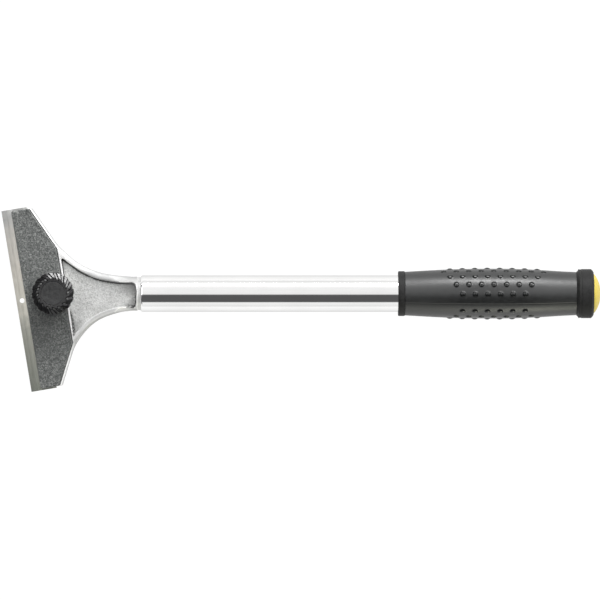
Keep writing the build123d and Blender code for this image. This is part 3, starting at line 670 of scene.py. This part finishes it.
# --------------------------------------------------------------------- the tube
TX0, TX1 = (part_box("handle_tube")[0][0] - BX) / MM, (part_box("handle_tube")[1][0] - BX) / MM
tube_prof = ([(TX0, 8.8), (TX0, 9.30)] + [(TX0 + 1.2 * (1 - math.cos(q)), 9.36 + 0.64 * math.sin(q)) for q in np.radians(np.arange(6, 91, 6))]
             + rounded([(TX0 + 1.2, 10.0), (TX1, 10.0, 0.3), (TX1, 8.8, 0.15), (TX0, 8.8)])[1:-1])
tube = lathe("chromed_tube", subdivide(tube_prof, 6.0, closed=True), "x", 256, closed=True, sharp=40)
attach(tube, "handle"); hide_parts("handle_tube")
chrome().on(tube)

# --------------------------------------------------------------------- the grip
core_prof = rounded([
    (188.7, 10.03), (188.7, 12.3, 0.5), (192.3, 12.3, 0.3), (192.3, 11.0), (286.4, 11.0), (286.4, 12.0), (287.0, 12.5), (287.5, 13.42, 0.15),
    (287.7, 13.45, 0.05), (287.9, 13.25, 0.08), (288.9, 13.25, 0.08), (289.1, 13.45, 0.1), (294.3, 13.45, 0.3), (295.2, 12.55, 0.3), (295.6, 11.85, 0.12),
    (295.6, 10.88, 0.12), (289.0, 10.88), (289.0, 8.0), (288.05, 8.0), (288.05, 10.03)], closed=True)
core = lathe("grip_frame", subdivide(core_prof, 0.8, closed=True), "x", 224, closed=True, sharp=40)
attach(core, "handle"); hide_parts("grip_core")
moulded("grip_frame_black", (0.006, 0.006, 0.006), (0.028, 0.0282, 0.028), 0.50, 0.66, 0.62, 0.05, spec=0.18).on(core)

COVER = [(192.35, 11.95), (203.9, 12.6), (213.0, 13.08), (222.0, 13.42), (232.0, 13.6), (241.0, 13.65),
         (250.0, 13.58), (259.7, 13.27), (268.5, 12.8), (277.5, 12.22), (286.35, 11.8)]
SEAM = math.radians(23.5)
BUMPS = []
for side in (-1, 1):
    for row, count in enumerate((6, 7, 8, 9, 8, 7, 6)):
        for i in range(count):
            BUMPS.append((240.9 + (i - (count - 1) / 2) * 6.84, SEAM + side * math.radians(22.5) * (row + 1)))
BUMPS = np.array(BUMPS)


def studded(a, r, t):
    skin = r > 11.1
    h = np.zeros(len(a))
    near = skin & (a > 205) & (a < 278)
    idx = np.nonzero(near)[0]
    aa, tt, rr = a[idx], t[idx], r[idx]
    best = np.full(len(idx), 99.0)
    for ba, bt in BUMPS:
        m = np.abs(aa - ba) < 2.4
        dt = (tt[m] - bt + math.pi) % (2 * math.pi) - math.pi
        dist = np.hypot(aa[m] - ba, dt * rr[m])
        best[m] = np.minimum(best[m], dist)
    cap_h = 0.60 * np.clip(1 - (best / 1.62) ** 2, 0, 1) ** 0.78
    foot = 0.03 * np.exp(-((best - 1.6) / 0.28) ** 2)
    h[idx] = cap_h + foot
    for k in (0, 1):
        dt = (t - SEAM - k * math.pi + math.pi) % (2 * math.pi) - math.pi
        s = dt * r
        ridge = 0.10 * np.exp(-(s / 0.16) ** 2) - 0.05 * np.exp(-((s - 0.42) / 0.2) ** 2)
        h = np.where(skin, h + ridge * (1 - smooth01(h, 0.02, 0.2)), h)
    return a, np.where(skin, r + h, r), t


out = subdivide(spline(COVER, 0.25), 0.25)
ends = rounded([(192.35, 11.03), (192.35, 11.95, 0.25), (193.2, 12.0)], steps=4)[1:-1]
cover_prof = [(192.35, 11.03)] + ends + [p for p in out if 192.9 < p[0] < 285.9] + [(286.15, 11.78), (286.35, 11.55), (286.35, 11.03)]
cover = lathe("studded_cover", cover_prof + [(a, 11.03) for a in np.linspace(286, 193, 40)], "x", 360, closed=True, shape=studded)
co, _ = coords(cover)
ca, ct = co[:, 0] - BX / MM, np.arctan2(-(co[:, 1] - AY / MM), co[:, 2] - AZ / MM)
best = np.full(len(co), 99.0)
for ba, bt in BUMPS:
    m = np.nonzero(np.abs(ca - ba) < 2.4)[0]
    dt = (ct[m] - bt + math.pi) % (2 * math.pi) - math.pi
    best[m] = np.minimum(best[m], np.hypot(ca[m] - ba, dt * 13.3))
paint(cover, "matt", (1 - smooth01(best, 1.5, 1.75)) * (0.38 + 0.34 * smooth01(best, 0.75, 1.25)))
# hands polish the studs and the middle; the ends stay duller
paint(cover, "rougher", 0.85 * smooth01(np.abs(ca - 240.9), 8.0, 44.0) * smooth01(best, 1.5, 1.75) - 1.2 * (1 - smooth01(best, 1.3, 1.6)))
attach(cover, "handle"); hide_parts("grip_cover")
moulded("studded_rubber", (0.0045, 0.0050, 0.0052), (0.0100, 0.0110, 0.0108), 0.30, 0.38, 0.6, 0.006, spec=0.80, matt=True, rougher=0.13).on(cover)

end_prof = [(289.05, 0.0), (289.05, 10.85), (295.3, 10.85)] + spline([(295.6, 10.8), (296.4, 10.2), (297.6, 8.4), (298.9, 5.2), (299.48, 2.6), (299.69, 0.0)], 0.3)
end = lathe("end_plug", subdivide(end_prof, 0.5), "x", 160)
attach(end, "handle"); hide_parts("end_cap")
moulded("plug_yellow", (0.50, 0.40, 0.045), (0.62, 0.48, 0.080), 0.36, 0.50, 0.5, 0.02, spec=0.5).on(end)

# ---------------------------------------------- CAD nodes that keep their shape
zinc = plain_steel("zinc_plate", (0.70, 0.71, 0.73), 0.22, 0.36)
zinc.on(wash, NODES["clamp_bolt"], NODES["rivets"])
plain_steel("turned_brass", (0.80, 0.60, 0.28), 0.20, 0.34).on(NODES["threaded_insert"])
ground_steel().on(NODES["blade"])

# -------------------------------------------------------------- floor and light
me = bpy.data.meshes.new("floor")
me.from_pydata([(-8, -8, -0.0005), (8, -8, -0.0005), (8, 8, -0.0005), (-8, 8, -0.0005)], [], [(0, 1, 2, 3)])
floor = bpy.data.objects.new("floor", me)
bpy.context.scene.collection.objects.link(floor)
fm = bpy.data.materials.new("pale_floor")
fm.use_nodes = True
fb = fm.node_tree.nodes["Principled BSDF"]
fb.inputs["Base Color"].default_value = (0.05, 0.05, 0.05, 1)
fb.inputs["Roughness"].default_value = 0.9
fb.inputs["Specular IOR Level"].default_value = 0.1
fb.inputs["Emission Color"].default_value = (1, 1, 1, 1)
fb.inputs["Emission Strength"].default_value = 0.99
floor.data.materials.append(fm)

world = bpy.data.worlds.new("studio")
bpy.context.scene.world = world
world.use_nodes = True
wt = world.node_tree
bg = wt.nodes["Background"]
sep = wt.nodes.new("ShaderNodeSeparateXYZ")
wt.links.new(wt.nodes.new("ShaderNodeTexCoord").outputs["Generated"], sep.inputs[0])
ang = wt.nodes.new("ShaderNodeMath"); ang.operation = "ARCTAN2"
wt.links.new(sep.outputs["Y"], ang.inputs[0]); wt.links.new(sep.outputs["Z"], ang.inputs[1])
fac = wt.nodes.new("ShaderNodeMapRange")
fac.inputs["From Min"].default_value, fac.inputs["From Max"].default_value = -math.pi, math.pi
wt.links.new(ang.outputs[0], fac.inputs["Value"])
ramp = wt.nodes.new("ShaderNodeValToRGB")
STOPS = [(-180, 0.55), (-140, 0.50), (-112, 0.74), (-66, 0.98), (-59, 0.95), (-52, 0.18), (-42, 0.105), (-24, 0.10), (-9, 0.19), (-4, 0.80), (-1, 0.95), (38, 1.0), (44, 1.15), (70, 1.1), (80, 0.90), (120, 0.83), (180, 0.80)]
els = ramp.color_ramp.elements
while len(els) < len(STOPS):
    els.new(0.5)
for e, (deg, v) in zip(els, STOPS):
    e.position = (deg + 180) / 360
    e.color = (v, v, v, 1)
wt.links.new(fac.outputs[0], ramp.inputs["Fac"])
# away from the middle the sky is dark, apart from a pale band above the horizon
side = wt.nodes.new("ShaderNodeMath"); side.operation = "ABSOLUTE"
wt.links.new(sep.outputs["X"], side.inputs[0])


def between(out, a, b):
    n = wt.nodes.new("ShaderNodeMapRange"); n.interpolation_type = "SMOOTHSTEP"
    n.inputs["From Min"].default_value, n.inputs["From Max"].default_value = min(a, b), max(a, b)
    if a > b:
        n.inputs["To Min"].default_value, n.inputs["To Max"].default_value = 1.0, 0.0
    wt.links.new(out, n.inputs["Value"])
    return n.outputs[0]


def colour_mix(fac, a, b):
    n = wt.nodes.new("ShaderNodeMix"); n.data_type = "RGBA"
    for k, v in ((0, fac), (6, a), (7, b)):
        if isinstance(v, tuple):
            n.inputs[k].default_value = v
        else:
            wt.links.new(v, n.inputs[k])
    return n.outputs[2]


def times(a, b):
    n = wt.nodes.new("ShaderNodeMath"); n.operation = "MULTIPLY"
    wt.links.new(a, n.inputs[0]); wt.links.new(b, n.inputs[1])
    return n.outputs[0]


aside = between(side.outputs[0], 0.14, 0.34)
belt = times(between(sep.outputs["Z"], 0.16, 0.28), between(sep.outputs["Z"], 0.60, 0.50))
above = between(sep.outputs["Z"], 0.55, 0.75)
sky = colour_mix(aside, ramp.outputs[0], colour_mix(above, (0.98, 0.98, 0.985, 1), (1.95, 1.95, 1.96, 1)))
# the gap between the overhead boxes runs on to both sides
gap = times(between(ang.outputs[0], math.radians(-58), math.radians(-53)), between(ang.outputs[0], math.radians(-6), math.radians(-11)))
sky = colour_mix(times(gap, between(side.outputs[0], 0.80, 0.62)), sky, (0.10, 0.10, 0.102, 1))
sky = colour_mix(times(aside, belt), sky, (0.05, 0.05, 0.052, 1))
wt.links.new(sky, bg.inputs["Color"])
bg.inputs["Strength"].default_value = 1.0


def softbox(name, azimuth, elevation, distance, width, height, radiance):
    a, e = math.radians(azimuth), math.radians(elevation)
    d = Vector((math.cos(a) * math.cos(e), math.sin(a) * math.cos(e), math.sin(e)))
    li = bpy.data.lights.new(name, "AREA")
    li.shape, li.size, li.size_y = "RECTANGLE", width, height
    li.energy = radiance * math.pi * width * height
    ob = bpy.data.objects.new(name, li)
    ob.location = d * distance
    ob.rotation_mode = "QUATERNION"
    ob.rotation_quaternion = d.to_track_quat("Z", "Y")
    bpy.context.scene.collection.objects.link(ob)
    return ob


for k, azimuth in enumerate((38, 66, 94)):
    softbox("key_%d" % k, azimuth, 29, 2.5, 1.28, 0.40, 15.0)
fill = softbox("fill", 291, 7, 2.5, 1.2, 0.8, 4.6)
fill.data.color = (1.0, 1.01, 0.80)

# ----------------------------------------------------------------------- camera
cam = bpy.data.objects.new("camera", bpy.data.cameras.new("camera"))
bpy.context.scene.collection.objects.link(cam)
bpy.context.scene.camera = cam
cam.data.sensor_width = 36.0
DIST = 3.0
cam.data.lens = 36.0 * (DIST - AZ) / 0.3285
cam.data.clip_start, cam.data.clip_end = 0.1, 30
cam.location = (BX + 0.135025, AY - 6.4 * 0.0005475, DIST)
cam.rotation_euler = (0, 0, 0)

bpy.context.scene.view_settings.view_transform = "Standard"
bpy.context.scene.view_settings.look = "None"
